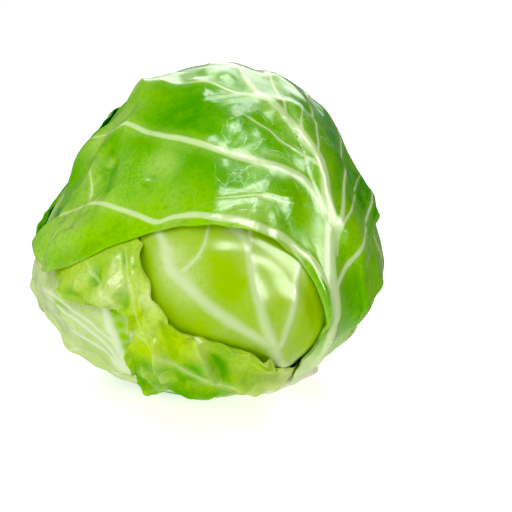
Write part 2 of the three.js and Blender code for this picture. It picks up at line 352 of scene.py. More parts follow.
PLAIN_HALF = [(0.4, -0.8), (0.72, -0.5), (0.95, -0.18), (1, 0.15), (0.92, 0.5), (0.64, 0.82), (0.26, 0.98)]


def closed_curve(points, samples):
    """Points evenly spaced along a smooth closed curve through the given ones."""
    p = np.asarray(points, float)
    before, after, beyond = np.roll(p, 1, 0), np.roll(p, -1, 0), np.roll(p, -2, 0)
    pairs = ((before, p), (p, after), (after, beyond))
    gap = [np.linalg.norm(b - a, axis=1, keepdims=True) ** 0.5 for a, b in pairs]
    leave = ((p - before) / gap[0] - (after - before) / (gap[0] + gap[1]) + (after - p) / gap[1]) * gap[1]
    arrive = ((after - p) / gap[1] - (beyond - p) / (gap[1] + gap[2]) + (beyond - after) / gap[2]) * gap[1]
    t = np.linspace(0, 1, CURVE_STEPS, endpoint=False)[None, :, None]
    start, end, leave, arrive = (x[:, None] for x in (p, after, leave, arrive))
    bend = start + leave * t + (3 * (end - start) - 2 * leave - arrive) * t ** 2
    path = (bend + (2 * (start - end) + leave + arrive) * t ** 3).reshape(-1, 2)
    path = np.vstack([path, path[:1]])
    length = np.concatenate([[0], np.cumsum(np.linalg.norm(np.diff(path, axis=0), axis=1))])
    at = np.linspace(0, length[-1], samples + 1)
    return np.stack([np.interp(at, length, path[:, i]) for i in range(2)], 1)


class Leaf:
    """A leaf's outline and its place on the head. middle is where it faces, round from the front and up;
    rings sets how fine its mesh is; waves are the count and height of the waves at its edge. outline is its
    blade, or plain gives a plain one's half width and tip. bumps are bulges, each with its place across and
    along, its width in degrees and its height. sunk is how far it lies below its place."""

    def __init__(self, name, middle, rings, waves, outline=None, plain=None, bumps=(), sunk=0.0):
        self.name, self.rings, self.waves, self.bumps, self.sunk = name, rings, waves, bumps, sunk
        self.out = heading(*middle)
        self.along = unit(self.out * (STEM @ self.out) - STEM)
        self.across = np.cross(self.along, self.out)
        self.foot = LEAF_FOOT - math.degrees(math.acos(self.out @ STEM))
        blade = outline or self.plain_blade(*plain)
        ends = [(0, self.foot), (FOOT_HALF_WIDTH, self.foot), *blade, (-FOOT_HALF_WIDTH, self.foot)]
        self.edge = closed_curve(ends, EDGE_SAMPLES)
        self.corners = closed_curve(ends, CORNER_SAMPLES)
        self.reach = np.linalg.norm(self.corners, axis=1).max()
        self.half, self.tip = self.corners.max(axis=0)

    def plain_blade(self, half, tip):
        right = [(across * half, along * (tip if along > 0 else -self.foot)) for across, along in PLAIN_HALF]
        return [*right, (0, tip), *((-across, along) for across, along in reversed(right))]

    def on(self, way):
        """Where on the leaf a direction from the middle of the head falls."""
        far = np.degrees(np.arccos(np.clip(way @ self.out, -1, 1)))
        turn = np.arctan2(way @ self.across, way @ self.along)
        return np.stack([far * np.sin(turn), far * np.cos(turn)], -1)

    def way(self, spots):
        far = np.radians(np.linalg.norm(spots, axis=-1, keepdims=True))
        turn = np.arctan2(spots[:, :1], spots[:, 1:])
        return np.cos(far) * self.out + np.sin(far) * (np.sin(turn) * self.across + np.cos(turn) * self.along)

    def past_edge(self, spots):
        """Degrees from each spot to the edge, less than zero on the leaf."""
        nearest = np.full(len(spots), np.inf)
        inside = np.zeros(len(spots), bool)
        for a, b in zip(self.corners, self.corners[1:]):
            run = b - a
            share = np.clip((spots - a) @ run / (run @ run), 0, 1)
            nearest = np.minimum(nearest, np.hypot(*(spots - a - share[:, None] * run).T))
            if a[1] != b[1]:
                crosses = (a[1] > spots[:, 1]) != (b[1] > spots[:, 1])
                inside ^= crosses & (spots[:, 0] < a[0] + (spots[:, 1] - a[1]) / run[1] * run[0])
        return np.where(inside, -nearest, nearest)

    def cover(self, way):
        """1 under the leaf and just past its edge, falling to 0 where the next leaf has come down again."""
        spots = self.on(way)
        share = np.zeros(len(way))
        near = np.linalg.norm(spots, axis=1) < self.reach + DRAPE_HOLD + DRAPE_FALL
        share[near] = 1 - smooth(DRAPE_HOLD, DRAPE_HOLD + DRAPE_FALL, self.past_edge(spots[near]))
        return share, spots

    def thickness(self, spots, rib_half_width=RIB_DRAPE_HALF_WIDTH, off_rib=None):
        off_rib = spots[:, 0] if off_rib is None else off_rib
        towards_foot = smooth(0.5, -1, spots[:, 1] / -self.foot)
        return BLADE_THICK + RIB_THICK * towards_foot * np.exp(-(off_rib / rib_half_width) ** 2)


LEAVES = [
    Leaf("heart_leaf", (-88, 12), 76, (5, 0.5), plain=(62, 58), sunk=LAYER_GAP),
    Leaf("leaf_front", (8, 14), 88, (7, 1.0), plain=(57, 48)),
    Leaf("leaf_back", (170, -21), 78, (9, 1.5), plain=(66, 74)),
    Leaf("leaf_right", (117, 2), 84, (9, 2.0), plain=(68, 58)),
    Leaf("leaf_under", (-135, -57), 70, (9, 2.0), plain=(58, 66)),
    Leaf(
        "leaf_low_left", (-38, 0), 92, (8, 2.5), bumps=[(-24, 18, 8, 1.5), (-35, -19, 7, 1.5)],
        outline=[(12, -52), (16, -32), (21, -18), (21, -8), (15, 4), (11, 14), (4, 26), (-12, 33), (-32, 29),
                 (-48, 14), (-58, -6), (-58, -27), (-48, -46), (-30, -62)],
    ),
    Leaf(
        "leaf_ruffled", (-17, 5), 100, (13, 6.0), bumps=[(-12, 14, 8, 3.0)],
        outline=[(13, -52), (16, -38), (12, -24), (6, -12), (4, -2), (4, 8), (5, 16), (1, 24), (-10, 35),
                 (-22, 36), (-27, 27), (-23, 17), (-13, 9), (-5, 2), (-9, -5), (-15, -9), (-20, -17),
                 (-28, -27), (-30, -38), (-20, -52)],
    ),
    Leaf(
        "leaf_top", (48, 52), 122, (15, 2.5),
        bumps=[(-82, 24, 12, 4.0), (-50, 46, 10, 3.0), (36, 0, 16, 1.5)],
        outline=[(10, -66), (12, -46), (22, -39), (34, -32), (48, -20), (62, -4), (70, 16), (70, 38),
                 (58, 60), (36, 76), (6, 83), (-24, 82), (-50, 76), (-74, 65), (-89, 48), (-93, 32),
                 (-89, 18), (-80, 9), (-68, 2), (-50, -9), (-37, -18), (-27, -25), (-20, -31), (-14, -38),
                 (-10, -52), (-9, -66)],
    ),
    Leaf(
        "leaf_behind", (-112, -12), 86, (11, 3.0),
        outline=[(13, -88), (14, -66), (12, -44), (12, -22), (12, -6), (12, 6), (15, 14), (23, 22), (25, 29),
                 (22, 34), (25, 40), (22, 46), (19, 50), (13, 56), (4, 62), (-8, 65), (-26, 62), (-42, 46),
                 (-50, 24), (-48, 0), (-40, -24), (-32, -48), (-22, -72)],
    ),
]


def stack(leaves, way):
    """How high over the heart the next leaf lies on these."""
    height = np.zeros(len(way))
    for leaf in leaves:
        if not leaf.sunk:
            share, spots = leaf.cover(way)
            height += share * (leaf.thickness(spots) + LAYER_GAP)
    return height


def bare_share(outer, way):
    share = np.ones(len(way))
    for leaf in outer:
        share *= 1 - leaf.cover(way)[0]
    return share


def place(way, height, pressed_height, stacked):
    """Points at a height over the heart, with the head's underside pressed flat on the surface."""
    dimple = DIMPLE * np.exp(-(angle_to_stem(way) / DIMPLE_SPREAD) ** 2)
    points = closed_head(way) + outward(way) * (height - HEART_INSET - dimple)[:, None]
    floor = np.maximum(stacked - LAYER_GAP - pressed_height, 0)
    over = points[:, 2] - floor
    turned = floor + np.maximum(over + PRESS_TURN, 0) ** 2 / (4 * PRESS_TURN)
    points[:, 2] = np.where(over < PRESS_TURN, turned, points[:, 2])
    return points


def swell(spots, wavelength, seed, count=18):
    """A smooth random swell about 1 high over a leaf, the same each time."""
    rng = np.random.default_rng(seed)
    turn, phase = rng.uniform(0, 2 * math.pi, (2, count))
    wave = 2 * math.pi * MM_PER_DEGREE / (wavelength * rng.uniform(0.75, 1.4, count))
    pull = np.stack([np.cos(turn), np.sin(turn)]) * wave
    return np.cos(spots @ pull + phase).sum(1) * math.sqrt(2 / count)


def crimp(turn, crests, seed, count=9):
    """A random wave about 1 high along an edge, with about so many crests round it."""
    rng = np.random.default_rng(seed)
    waves = np.round(crests * rng.uniform(0.6, 1.5, count))
    phase = rng.uniform(0, 2 * math.pi, count)
    return np.cos(2 * math.pi * np.multiply.outer(turn, waves) + phase).sum(-1) * math.sqrt(2 / count)


def open_curve(points, step=1.2):
    """Points along a smooth open curve through the given ones."""
    p = np.asarray(points, float)
    p = np.vstack([2 * p[0] - p[1], p, 2 * p[-1] - p[-2]])
    path = []
    for a, b, c, d in zip(p, p[1:], p[2:], p[3:]):
        t = np.linspace(0, 1, max(2, int(np.linalg.norm(c - b) / step)), endpoint=False)[:, None]
        square, cube = 2 * a - 5 * b + 4 * c - d, 3 * b - a - 3 * c + d
        path.append(0.5 * (2 * b + (c - a) * t + square * t ** 2 + cube * t ** 3))
    return np.vstack([*path, p[-2]])


class Vein:
    """A vein along a leaf: its path in degrees, and how wide it is at its start and end in mm."""

    def __init__(self, path, start_width, end_width):
        self.path = open_curve(path)
        self.start_width, self.end_width = start_width, end_width

    def near(self, spots):
        """Distance in mm, less than zero on its right, and the share of the way along, for each spot."""
        run = np.diff(self.path, axis=0)
        from_start = spots[:, None] - self.path[:-1]
        share = np.clip((from_start * run).sum(-1) / (run ** 2).sum(-1), 0, 1)
        gap = from_start - share[..., None] * run
        far = np.hypot(gap[..., 0], gap[..., 1])
        k = far.argmin(1)
        row = np.arange(len(spots))
        side = np.sign(run[k, 0] * from_start[row, k, 1] - run[k, 1] * from_start[row, k, 0])
        return far[row, k] * side * MM_PER_DEGREE, (k + share[row, k]) / len(run)

    def half_width(self, along):
        return (self.start_width + (self.end_width - self.start_width) * along) / 2

    def branches(self, count, length, seed, width=1.3):
        """Thin side veins on both sides, leaning towards this one's end."""
        rng = np.random.default_rng(seed)
        made = []
        for i in range(count):
            at = (i + rng.uniform(0.3, 0.9)) / count
            k = min(int(at * (len(self.path) - 1)), len(self.path) - 2)
            forward = unit(self.path[k + 1] - self.path[k])
            side = np.array([forward[1], -forward[0]]) * (1 if i % 2 else -1)
            reach = length * rng.uniform(0.6, 1.2) * (1 - 0.45 * at)
            lean, sway = rng.uniform(0.6, 1.0), rng.uniform(-0.05, 0.05)
            steps = [(0, 0), (0.35, sway), (0.7, -sway), (1, sway)]
            path = [self.path[k] + reach * (s * side + (lean * s ** 1.3 + w) * forward) for s, w in steps]
            made.append(Vein(path, width * (1 - 0.3 * at), TWIG_END))
        return made


def nearest_vein(spots, veins):
    """How many half widths off the nearest vein a spot is, less than zero on a thin one's right, the same
    without a side, and the ridges' height."""
    sided, ridge = np.full(len(spots), NO_VEIN), np.zeros(len(spots))
    for vein in veins:
        low, high = vein.path.min(0) - VEIN_REACH, vein.path.max(0) + VEIN_REACH
        close = np.flatnonzero(((spots > low) & (spots < high)).all(1))
        distance, along = vein.near(spots[close])
        ending = 1 - smooth(VEIN_ENDS_FROM, 1, along) * VEIN_END_LOSS
        half = vein.half_width(along) * ending
        off = np.where(half > WIDE_VEIN, np.abs(distance), distance) / half
        nearer = np.abs(off) < np.abs(sided[close])
        sided[close[nearer]] = off[nearer]
        ridge[close] = np.maximum(ridge[close], RIDGE_SHARE * half * np.exp(-(distance / half) ** 2))
    return sided, np.abs(sided), ridge


def fold(spots, path, high, wide):
    """A sharp fold along a path, high mm up (less than zero for a groove), that dies away wide mm off."""
    distance, along = Vein(path, 1, 1).near(spots)
    return high * np.exp(-np.abs(distance) / wide) * smooth(0, 0.2, along) * (1 - smooth(0.8, 1, along))


def patches(spots, places):
    """1 in the middle of each patch, given as across, along, width in degrees and strength."""
    tint = np.zeros(len(spots))
    for across, along, wide, strength in places:
        tint = np.maximum(tint, strength * np.exp(-((spots - (across, along)) ** 2).sum(1) / wide ** 2))
    return tint


def leaf_spots(leaf, jag):
    """Rings of spots from a leaf's middle out to its edge, with the ring and the turn of each."""
    spots, shares, turns = [np.zeros((1, 2))], [np.zeros(1)], [np.zeros(1)]
    for ring in range(1, leaf.rings + 1):
        turn = np.arange(6 * ring) / (6 * ring)
        at = turn * (len(leaf.edge) - 1)
        k = at.astype(int)
        rim = leaf.edge[k] + (at - k)[:, None] * (leaf.edge[k + 1] - leaf.edge[k])
        share = ring / leaf.rings
        free = smooth(leaf.foot, leaf.foot / 2, rim[:, 1])
        ragged = jag * crimp(turn, JAG_CRESTS, JAG_SEED) * share ** 4 * free
        spots.append(rim * share + unit(rim) * ragged[:, None])
        shares.append(np.full(6 * ring, share))
        turns.append(turn)
    return np.concatenate(spots), np.concatenate(shares), np.concatenate(turns)


def leaf_faces(rings):
    """Triangles of the outer face, the inner one and the rim between them."""
    def corner(ring, k):
        return np.where(ring == 0, 0, 1 + 3 * ring * (ring - 1) + k % np.maximum(6 * ring, 1))
    outer = []
    for ring in range(1, rings + 1):
        k = np.arange(6 * ring)
        inside = k - k // ring
        outer.append(np.stack([corner(ring - 1, inside), corner(ring, k), corner(ring, k + 1)], 1))
        k = k[k % ring < ring - 1]
        inside = k - k // ring
        a, b, c = corner(ring - 1, inside), corner(ring, k + 1), corner(ring - 1, inside + 1)
        outer.append(np.stack([a, b, c], 1))
    outer = np.concatenate(outer)
    half = 1 + 3 * rings * (rings + 1)
    k = np.arange(6 * rings)
    a, b = corner(rings, k), corner(rings, k + 1)
    rim = [np.stack([a, a + half, b], 1), np.stack([b, a + half, b + half], 1)]
    return np.concatenate([outer, outer[:, ::-1] + half, *rim]).tolist()


def leaf_lift(leaf, spots, ring, turn, swells, folded, crimps, seed):
    """How far a leaf stands off what it lies on: its edge's waves and crimps, bulges, swells and folds."""
    count, high = leaf.waves
    wave = 0.5 - 0.5 * np.cos(2 * math.pi * count * turn)
    free = smooth(leaf.foot, leaf.foot / 2, spots[:, 1])
    lift = high * wave * smooth(WAVES_FROM, 1, ring) * free
    lift += crimps[1] * crimp(turn, crimps[0], seed) * smooth(CRIMPS_FROM, 1, ring) * free
    for across, along, wide, tall in leaf.bumps:
        bump = tall * np.exp(-((spots - (across, along)) ** 2).sum(1) / wide ** 2)
        lift += bump * (1 - BUMP_LOSS * smooth(CLING_FROM, 1, ring))
    for i, (wavelength, tall) in enumerate(swells):
        lift += tall * swell(spots, wavelength, i + 10 * seed)
    lift += folded
    lift -= EDGE_CLING * smooth(CLING_FROM, 1, ring)
    return np.where(lift < 0, -DEEPEST_DENT * (1 - np.exp(lift / DEEPEST_DENT)), lift)


def add_marks(piece, spots, marks):
    """Stores what a leaf's finish reads: a value at each point for every mark, and the leaf laid flat."""
    for key, values in marks.items():
        attribute = piece.data.attributes.new(key, "FLOAT", "POINT")
        attribute.data.foreach_set("value", np.tile(values, 2).astype(np.float32))
    layer = piece.data.uv_layers.new(name="leaf")
    corners = np.empty(len(piece.data.loops), np.int32)
    piece.data.loops.foreach_get("vertex_index", corners)
    flat = np.tile(spots * MM_PER_DEGREE * MM, (2, 1))
    layer.data.foreach_set("uv", flat[corners].astype(np.float32).ravel())


def make_leaf(name, material, veins, twigs, swells, folds=(), crimps=(40, 0.3), jag=0.4, tints=None,
              seed=None):
    """Builds a leaf of the table over its solid, and says where it belongs."""
    order = [leaf.name for leaf in LEAVES].index(name)
    leaf = LEAVES[order]
    spots, ring, turn = leaf_spots(leaf, jag)
    way = leaf.way(spots)
    stacked = stack(LEAVES, way)
    bare = bare_share(LEAVES[order + 1:], way)
    vein, vein_far, ridge = nearest_vein(spots, veins)
    twig, twig_far, twig_ridge = nearest_vein(spots, twigs)
    folded = sum((fold(spots, *shape) for shape in folds), np.zeros(len(spots)))
    lift = leaf_lift(leaf, spots, ring, turn, swells, folded, crimps, order if seed is None else seed)
    lift *= bare * smooth(*LIFT_LEVELS, closed_head(way)[:, 2])

    low = stack(LEAVES[:order], way) + lift - leaf.sunk
    off_rib = veins[0].near(spots)[0] / MM_PER_DEGREE
    thick = leaf.thickness(spots, RIB_HALF_WIDTH, off_rib)
    thick -= (BLADE_THICK - EDGE_THICK) * smooth(THIN_FROM, 1, ring)
    if leaf.sunk:
        thick = np.minimum(thick, SUNK_THICK)
    raised = (ridge + TWIG_RIDGE_SHARE * twig_ridge) * (COVERED_RIDGE + (1 - COVERED_RIDGE) * bare)
    outer = place(way, low + thick + raised, low + leaf.thickness(spots), stacked)
    inner = place(way, low, low, stacked)
    piece = mesh_object(name + "_blade", np.vstack([outer, inner]), leaf_faces(leaf.rings), material)

    marks = {"vein": vein, "vein_far": vein_far, "twig": twig, "twig_far": twig_far}
    marks |= {"rim": smooth(RIM_FROM, 1, ring), "foot": smooth(*FOOT_FADE, spots[:, 1] / leaf.foot)}
    marks |= {tint: patches(spots, (tints or {}).get(tint, ())) for tint in ("deep", "pale_and_lit", "fresh", "net")}
    # Painted shade and light from the folds: grooves darken towards the deeper green and ridges lighten
    # towards the paler one. These and the listed patches show only where no outer leaf covers the leaf.
    marks["deep"] = np.maximum(marks["deep"], np.clip(-folded * FOLD_SHADE_TINT, 0, DEEPEST_FOLD_SHADE)) * bare
    marks["pale_and_lit"] = np.maximum(marks["pale_and_lit"], np.clip(folded * FOLD_SHADE_TINT / 3, 0, PALEST_FOLD_LIGHT)) * bare
    add_marks(piece, spots, marks)
    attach(piece, "root")
    if not leaf.sunk:
        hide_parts(name)


def leaf_finish(name, colours, vein_share=0.85, twig_share=0.08, wax=0.45, soft=0.0):
    """Waxy leaf: green between the veins, paler beside them, with a fine net of small veins. Its colours are
    the green, a deeper one that also paints shade, a paler one that also paints light, a fresh yellow-green,
    and that of its veins."""
    green, deep, pale_and_lit, fresh, vein = (rgb(*colour) for colour in colours)
    f = Finish(name)
    flat, spot = f.node("ShaderNodeUVMap", {"uv_map": "leaf"}), f.position()
    wander = {"Vector": flat, "Scale": 60.0, "Detail": 2.0}
    drift = f.node("ShaderNodeTexNoise", values=wander, output="Color")
    sway = {0: drift, 1: (0.005, 0.005, 0), 2: flat}
    bent = f.node("ShaderNodeVectorMath", {"operation": "MULTIPLY_ADD"}, sway)
    off_vein, off_twig = (f.sum("ABSOLUTE", f.attribute(key)) for key in ("vein", "twig"))
    vein_far, twig_far = f.attribute("vein_far"), f.attribute("twig_far")
    on_vein = f.until(off_vein, 0.5 - soft, 1.15 + soft) * f.until(vein_far, 2, 3)
    on_twig = f.until(off_twig, 0.4, 1.3) * f.until(twig_far, 4, 6)
    cloud = f.noise(spot, 24, 3, 0.55)
    mottle = f.noise(spot, 110, 4, 0.6)
    grain = f.noise(spot, 420, 3, 0.65)
    net = f.until(f.cell_edges(bent, 380), 0.0, 0.16)
    fine_net = f.until(f.cell_edges(bent, 800), 0.0, 0.2)
    showing = f.clamp(f.step(f.noise(spot, 40, 2), 0.5, 0.75) * 0.35 + f.attribute("net"))
    across = {"W": f.attribute("vein") * 2.2, "Scale": 1.0}
    fibre = f.node("ShaderNodeTexNoise", {"noise_dimensions": "1D"}, across)
    stripe = vein_share + (fibre - 0.5) * 0.5
    beside = f.until(vein_far, 0.5, 4.5) * BESIDE_SHARE

    # The deeper green also paints shade where a leaf's marks put it, in fold grooves and on sides that get
    # less light. The paler one also paints light on fold ridges and on sides that catch a sheen. Random
    # clouds and specks of the deeper green, and the paler tone beside the veins, are the leaf's own colour.
    colour = f.mix(green, deep, f.clamp(f.step(cloud, 0.45, 0.7) * 0.4 + f.attribute("deep")))
    colour = f.mix(colour, pale_and_lit, f.clamp(beside + f.attribute("pale_and_lit") + f.attribute("rim") * 0.35))
    colour = f.mix(colour, fresh, f.clamp(f.step(mottle, 0.45, 0.75) * 0.45 + f.attribute("fresh")))
    colour = f.mix(colour, deep, f.step(grain, 0.45, 0.75) * 0.35)
    colour = f.mix(colour, vein, f.clamp((net * 0.14 + fine_net * 0.06) * showing + on_twig * twig_share))
    colour = f.mix(colour, vein, f.clamp(on_vein * stripe + f.attribute("foot")))
    height = f.clamp(on_twig * 0.25 + (net * 0.35 + fine_net * 0.15) * showing + mottle * 0.3 + grain * 0.1)
    normal = f.bump(height, 0.0004, 0.4)
    rough = 0.16 + mottle * 0.12 + f.attribute("foot") * 0.2
    return f.surface(Base_Color=colour, Roughness=rough, Normal=normal, Specular_IOR_Level=wax,
                     Subsurface_Weight=0.3, Subsurface_Radius=(0.5, 1.0, 0.1), Subsurface_Scale=0.002)


def twigs_of(veins, count, length, seed):
    """Thin branches of each vein, and thinner ones of those."""
    branches = [b for i, vein in enumerate(veins) for b in vein.branches(count, length, seed + i)]
    thinner = [b for i, vein in enumerate(branches) for b in vein.branches(4, length * 0.45, seed + i, 0.8)]
    return branches + thinner


# The front leaf: pale and smooth, tight on the heart, with a broad flat midrib that runs up from the core
# and one strong side vein on its left.
veins = [
    Vein([(0, -61), (0, -40), (3, -20), (6, -4), (8, 5), (5, 12), (2, 24), (-1, 40)], 10, 2.2),
    Vein([(1, -26), (-3, -15), (-9, -4), (-13, 4), (-16, 10), (-16, 16), (-17, 21), (-20, 34)], 8, 4),
    Vein([(2, -30), (12, -18), (24, -6), (34, 8), (40, 20)], 5, 1.5),
    Vein([(-15, 8), (-11, 8), (-5, 10), (0, 16)], 2.5, 1),
    Vein([(8, 2), (14, 12), (22, 22), (28, 32)], 3, 1),
]
tints = {
    "pale_and_lit": [(-18, 16, 8, 0.9), (-14, 17, 4, 0.7), (-24, 6, 8, 0.5), (-12, 5, 5, 0.5), (6, 10, 5, 0.5),
             (-20, 28, 10, 0.5)],
    "fresh": [(-2, -3, 8, 0.9), (-12, -6, 6, 0.7), (2, -12, 8, 0.6)],
}
finish = leaf_finish(
    "front_leaf", [(166, 205, 52), (146, 194, 20), (204, 224, 150), (160, 202, 14), (216, 232, 186)],
    vein_share=0.6, twig_share=0.03, soft=0.3,
)
make_leaf("leaf_front", finish, veins, [], [(60, 0.9), (26, 0.3)], jag=0.1, tints=tints)


# The wrapping leaves that the front view doesn't show: the back, the right and the one under the head.
def plain_veins(name, pairs, seed):
    """A midrib with side veins that leave it in turn and bend up towards the tip."""
    leaf = next(leaf for leaf in LEAVES if leaf.name == name)
    rng = np.random.default_rng(seed)
    midrib = [(0, leaf.foot), (1, leaf.foot / 2), (-1, 0), (1, leaf.tip / 2), (0, leaf.tip * 0.92)]
    made = [Vein(midrib, 11, 1.5)]
    first, last = leaf.foot * 0.72, leaf.tip * 0.8
    for i in range(2 * pairs):
        up = i / (2 * pairs)
        at = first + (last - first) * up
        wide = leaf.half * (0.85 - 0.35 * up) * rng.uniform(0.9, 1.1) * (1 if i % 2 else -1)
        rise = (34 - 16 * up) * rng.uniform(0.85, 1.15)
        path = [(0, at), (wide * 0.3, at + rise * 0.55), (wide * 0.65, at + rise), (wide, at + rise * 1.5)]
        made.append(Vein(path, 4.5 - 2.5 * up, 0.9))
    return made


WRAPPING = [
    ("leaf_back", "green_leaf",
     [(118, 185, 14), (92, 170, 8), (176, 212, 96), (140, 196, 16), (208, 230, 160)]),
    ("leaf_right", "green_leaf",
     [(126, 190, 16), (98, 174, 8), (182, 214, 100), (148, 200, 18), (212, 230, 164)]),
    ("leaf_under", "pale_leaf",
     [(186, 214, 116), (160, 202, 72), (208, 226, 164), (184, 214, 84), (224, 236, 198)]),
]
for seed, (name, slot, colours) in enumerate(WRAPPING):
    veins = plain_veins(name, 5, 20 + seed)
    finish = leaf_finish(name + "_finish", colours)
    make_leaf(name, finish, veins, twigs_of(veins, 7, 14, 30 * seed), [(48, 1.2), (24, 0.4)])

# The low left leaf: very pale, with a broad white midrib that comes from under the head.
veins = [
    Vein([(0, -76), (-7, -50), (-9, -34), (-8, -26), (-1, -18), (5, -9), (8, -2), (9, 6), (6, 16)], 10, 5),
    Vein([(-8, -27), (-5, -18), (-4, -12), (-6, -3), (-10, 5), (-16, 13)], 5, 3),
    Vein([(-8, -29), (-8, -18), (-10, -11), (-14, -5), (-22, 4)], 5, 3),
    Vein([(1, -15), (0, -8), (-3, 0), (-8, 8), (-16, 16)], 4, 2.4),
    Vein([(-8, -36), (-16, -24), (-24, -15), (-34, -8)], 5, 2),
    Vein([(-6, -46), (-20, -34), (-34, -26), (-48, -22)], 4, 1.2),
    Vein([(2, -30), (7, -18), (11, -12), (14, -8), (16, 0)], 4.5, 3.5),
]
folds = [
    ([(13, 4), (11, -5), (8, -11), (4, -17), (0, -24)], -3.0, 3.0),
    ([(-14, 24), (-12, 16), (-9, 8), (-8, 2)], -2.0, 3.0),
    ([(-4, -8), (-8, 0), (-14, 8)], -1.6, 3.0),
    ([(-8, -20), (-10, -12), (-16, -4)], -1.6, 3.0),
]
tints = {
    "fresh": [(12, 0, 3.4, 1), (11, -5, 3.4, 1), (9, -9, 3.2, 1), (7, -13, 3, 1), (4, -17, 3, 0.9),
              (-9, 9, 3, 0.5)],
    "pale_and_lit": [(-20, 8, 9, 0.8), (-14, -4, 8, 0.4)],
    "deep": [(-2, 2, 5, 0.6), (-8, -8, 4, 0.5), (-13, -16, 5, 0.5)],
}
finish = leaf_finish(
    "low_leaf", [(208, 227, 158), (176, 210, 106), (214, 231, 180), (146, 200, 14), (224, 236, 204)],
    vein_share=0.75, twig_share=0.04, wax=0.25, soft=0.3,
)
make_leaf("leaf_low_left", finish, veins, twigs_of(veins, 5, 9, 60), [(40, 1.2), (22, 0.5)],
          folds, tints=tints)

# The ruffled leaf: thin and yellow-green, its edge folded and crimped where it hangs free.
veins = [
    Vein([(0, -67), (-2, -45), (-5, -25), (-6, -8), (-8, 8), (-14, 24)], 3.4, 1.0),
    Vein([(-6, -10), (-2, 4), (0, 18)], 1.6, 0.8),
    Vein([(-7, 0), (-14, 8), (-26, 20)], 1.6, 0.8),
]
folds = [
    ([(-3, 24), (-3, 18), (-5, 13), (-8, 8)], 4.2, 3.0),
    ([(2, 18), (1, 10), (0, 2), (-4, -4)], 3.8, 2.6),
    ([(-1, 22), (-1, 14), (-3, 7), (-6, 2)], -4.0, 2.2),
    ([(-8, 24), (-9, 18), (-11, 12)], -4.0, 2.4),
    ([(-14, 26), (-15, 20), (-18, 14)], 3.6, 2.8),
    ([(0, 2), (-3, -8), (-10, -18), (-18, -28)], 4.4, 3.0),
    ([(3, -2), (0, -12), (-6, -22), (-14, -34)], -4.0, 2.6),
    ([(8, -12), (3, -24), (-4, -38)], 4.0, 3.0),
    ([(6, -22), (2, -34), (-6, -44)], -4.0, 2.6),
    ([(-14, -14), (-20, -24), (-24, -36)], 3.0, 2.6),
]
tints = {
    "deep": [(-9, 17, 2.4, 0.45), (-6, 17, 2, 0.4), (-20, 16, 2.4, 0.5), (2, 11, 2, 0.5),
             (-11, -17, 7, 1.0), (-21, -24, 9, 1.0), (-32, -30, 9, 1.0), (-16, -34, 9, 1.0),
             (-4, -26, 8, 0.9), (-10, -40, 9, 0.9)],
    "pale_and_lit": [(-3, 19, 3.5, 0.9), (-12, 20, 4, 0.8), (-4, 10, 4, 0.8), (-9, 8, 4, 0.7), (2, 1, 3.5, 1.0),
             (-18, 26, 6, 0.6)],
    "fresh": [(-3, -1, 4, 0.8), (-7, -10, 5, 0.9), (2, -14, 7, 0.7), (2, 11, 2.5, 0.4)],
}
finish = leaf_finish(
    "ruffled_leaf", [(190, 219, 84), (90, 170, 0), (216, 231, 150), (184, 216, 16), (212, 228, 146)],
    vein_share=0.3, twig_share=0.04, wax=0.25,
)
make_leaf("leaf_ruffled", finish, veins, twigs_of(veins, 8, 9, 80), [(28, 1.2), (13, 0.7)],
          folds, crimps=(34, 1.4), jag=0.5, tints=tints, seed=5)

# The top leaf: the largest, bright green and glossy, wrapped from the core up over the whole head. Its midrib
# stands on the right, and long side veins sweep left from it.
veins = [
    Vein([(0, -92), (-3, -76), (-6, -58), (-5, -42), (0, -31), (4, -16), (2, -7), (0, 1), (-2, 7), (-3, 13),
          (-1, 22), (4, 32), (6, 37), (6, 52), (2, 70)], 13, 1.6),
    Vein([(0, -31), (-1, -22), (-4, -17), (-9, -13), (-15, -9), (-22, -4), (-28, 2), (-33, 9), (-41, 23),
          (-44, 40), (-47, 47), (-49, 60)], 5.5, 3.0),
    Vein([(-1, 5), (-5, 13), (-8, 17), (-11, 23), (-14, 29), (-18, 35), (-21, 42), (-20, 53)], 3.2, 1.4),
    Vein([(2, -14), (-3, -8), (-7, -4), (-9, 0), (-12, 4), (-17, 12)], 1.8, 0.8),
    Vein([(-6, -46), (-11, -37), (-14, -34), (-19, -29), (-26, -24), (-32, -19), (-39, -14), (-45, -9),
          (-51, -5), (-56, -2), (-60, 5), (-64, 13), (-69, 26), (-75, 37), (-80, 52)], 5, 1.6),
    Vein([(-1, -36), (1, -33), (7, -28), (14, -21), (24, -13), (36, -2), (50, 12)], 3.6, 1.2),
    Vein([(-5, -46), (3, -42), (13, -37), (23, -32), (32, -27), (48, -14)], 3.6, 1.2),
    Vein([(3, -12), (12, -2), (24, 12), (40, 26)], 2.6, 0.9),
    Vein([(0, 4), (10, 20), (24, 36), (36, 52)], 2.6, 0.9),
    Vein([(4, 34), (-4, 48), (-14, 62)], 2, 0.8),
    Vein([(0, -38), (4, -32), (13, -28), (25, -22), (38, -15)], 2.2, 0.8),
    Vein([(2, -6), (3, -1), (7, 3), (11, 7)], 1.6, 0.8),
    Vein([(-12, -22), (-16, -20), (-22, -16), (-31, -12), (-37, -9)], 0.7, 1.3),
    Vein([(-69, 26), (-70, 30), (-66, 38), (-60, 48)], 2, 0.8),
]
